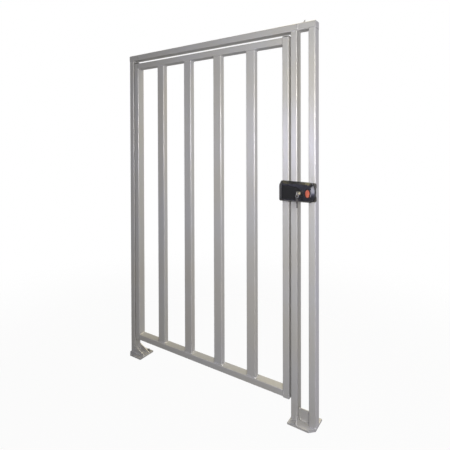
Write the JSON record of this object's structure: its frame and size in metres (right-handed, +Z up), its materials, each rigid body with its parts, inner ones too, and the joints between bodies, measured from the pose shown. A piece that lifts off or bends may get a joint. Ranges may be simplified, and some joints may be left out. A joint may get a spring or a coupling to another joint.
{
  "type": "pedestrian security gate",
  "caption": "Single-leaf steel security gate: a welded tube portal on base plates, a barred swing leaf on barrel hinges and an electric rim lock with a push button and key.",
  "frame": {"origin": "foot of the hinge post's centre line, on the ground", "axes": "+X along the gate towards the latch side, +Y towards the side that the leaf opens to, +Z up"},
  "size_m": [1.464, 0.194, 2.287],
  "materials": {
    "painted_tube": "satin silver-grey sprayed enamel on steel tube",
    "zinc_steel": "bright zinc plate",
    "brass": "turned",
    "nickel": "satin nickel plate",
    "matte_black": "fine moulded grain",
    "gloss_case": "polished moulding",
    "grey_trim": "light grey moulding",
    "coil_tape": "wound coil under amber tape",
    "button_red": "orange-red moulding"
  },
  "bodies": {
    "portal": {"hinge_post": "painted_tube", "latch_post": "painted_tube", "outer_post": "painted_tube", "header_stub": "painted_tube", "header_beam": "painted_tube", "header_end": "painted_tube", "header_lug": "painted_tube", "header_end_plates": "painted_tube", "hinge_base_plate": "painted_tube", "latch_base_plate": "painted_tube", "hinge_gussets": "painted_tube", "post_web": "painted_tube", "latch_fin": "painted_tube", "hinge_lower_knuckles": "painted_tube", "hinge_pins": "zinc_steel", "hinge_washers": "brass", "lock_plate": "matte_black", "lock_case": "gloss_case", "lock_panel": "matte_black", "lock_trim": "grey_trim", "cylinder_body": "nickel", "cylinder_rose": "matte_black", "bolt_guide": "zinc_steel", "button_bezel": "matte_black", "button_switch": "matte_black", "solenoid_frame": "zinc_steel", "solenoid_coil": "coil_tape"},
    "leaf": {"hinge_stile": "painted_tube", "latch_stile": "painted_tube", "bottom_rail": "painted_tube", "top_rail": "painted_tube", "upper_stile_caps": "matte_black", "lower_stile_caps": "painted_tube", "hinge_upper_knuckles": "painted_tube", "lock_keeper": "zinc_steel", "leaf_bar_1": "painted_tube", "leaf_bar_2": "painted_tube", "leaf_bar_3": "painted_tube", "leaf_bar_4": "painted_tube"},
    "bolt": {"lock_bolt": "zinc_steel"},
    "key": {"lock_plug": "brass", "drive_pinion": "zinc_steel", "lock_key": "nickel"},
    "key_bunch": {"key_ring": "zinc_steel", "spare_key": "nickel"},
    "button": {"push_button": "button_red"},
    "core": {"solenoid_core": "zinc_steel"}
  },
  "joints": [
    {"name": "leaf_swing", "type": "hinge", "parent": "portal", "child": "leaf", "pos_m": [0.0245, 0.0403, 0.5], "axis": [0, 0, 1], "range_deg": [0, 110]},
    {"name": "bolt_throw", "type": "slide", "parent": "portal", "child": "bolt", "axis": [-1, 0, 0], "range_m": [0, 0.01767]},
    {"name": "key_turn", "type": "hinge", "parent": "portal", "child": "key", "pos_m": [1.3615, -0.06, 1.319], "axis": [0, -1, 0], "range_deg": [0, 90.01]},
    {"name": "key_bunch_swing", "type": "hinge", "parent": "key", "child": "key_bunch", "pos_m": [1.3615, -0.116, 1.307], "axis": [0, -1, 0], "range_deg": [-30, 30]},
    {"name": "button_press", "type": "slide", "parent": "portal", "child": "button", "axis": [0, 1, 0], "range_m": [0, 0.003], "stiffness_N_per_m": 400, "springref_m": -0.001},
    {"name": "core_pull", "type": "slide", "parent": "portal", "child": "core", "axis": [1, 0, 0], "range_m": [0, 0.0048]}
  ],
  "couplings": [
    {"joint": "key_turn", "follows": "bolt_throw", "rad_per_m": 88.889},
    {"joint": "core_pull", "follows": "button_press", "ratio": 1.6}
  ]
}
